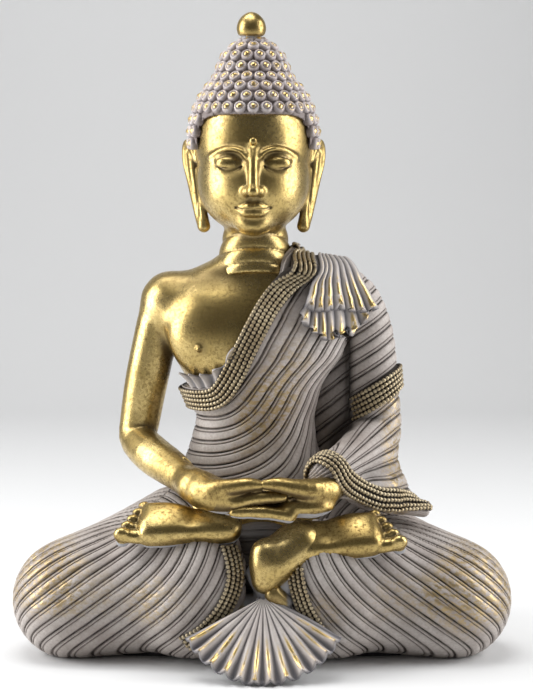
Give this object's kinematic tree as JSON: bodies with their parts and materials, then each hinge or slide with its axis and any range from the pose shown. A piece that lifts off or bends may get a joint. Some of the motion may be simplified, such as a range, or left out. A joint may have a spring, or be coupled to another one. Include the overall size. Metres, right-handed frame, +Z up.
{
  "type": "seated buddha statue",
  "caption": "Seated meditating figure in a draped, pleated robe, cast in sections, with crossed legs, hands laid in the lap, curled hair and a drop finial.",
  "frame": {"origin": "on the underside of the felt pad, below the middle of the torso", "axes": "+Z up, +X to the figure's left, the figure faces -Y"},
  "size_m": [0.2306, 0.145, 0.3],
  "materials": {
    "gold_skin": "gold leaf paint with a brown patina over cast resin",
    "robe_cloth": "whitewashed lilac-grey paint with dark grooves and gold dry-brushing over cast resin",
    "braid_trim": "antique cream-gold paint with dark gaps over cast resin",
    "hair_curls": "lilac-grey paint with gold tips and dark spirals over cast resin",
    "finial_gold": "gold paint, paler at the foot, over cast resin",
    "felt": "dark felt, self-adhesive",
    "plug_rubber": "black moulded stopper",
    "pin_steel": "plain steel rod"
  },
  "bodies": {
    "root": {"torso_casting": "gold_skin", "right_arm": "gold_skin", "right_foot": "gold_skin", "left_foot": "gold_skin", "right_hand": "gold_skin", "left_hand": "gold_skin", "right_shin": "gold_skin", "left_shin": "gold_skin", "head": "gold_skin", "right_ear": "gold_skin", "left_ear": "gold_skin", "urna": "gold_skin", "seat_casting": "robe_cloth", "left_sleeve": "robe_cloth", "robe_drape": "robe_cloth", "underarm_frill": "robe_cloth", "shoulder_fan_upper": "robe_cloth", "shoulder_fan_lower": "robe_cloth", "front_fan": "robe_cloth", "right_leg": "robe_cloth", "left_leg": "robe_cloth", "chest_braid": "braid_trim", "armband_braid": "braid_trim", "cuff_braid": "braid_trim", "right_leg_braid": "braid_trim", "left_leg_braid": "braid_trim", "hair_cap": "hair_curls", "finial": "finial_gold", "felt_pad": "felt", "vent_plug": "plug_rubber", "neck_pin": "pin_steel", "finial_pin": "pin_steel", "right_shoulder_pin": "pin_steel", "left_shoulder_pin": "pin_steel", "right_waist_pin": "pin_steel", "left_waist_pin": "pin_steel", "right_hip_pin": "pin_steel", "left_hip_pin": "pin_steel"}
  },
  "joints": []
}
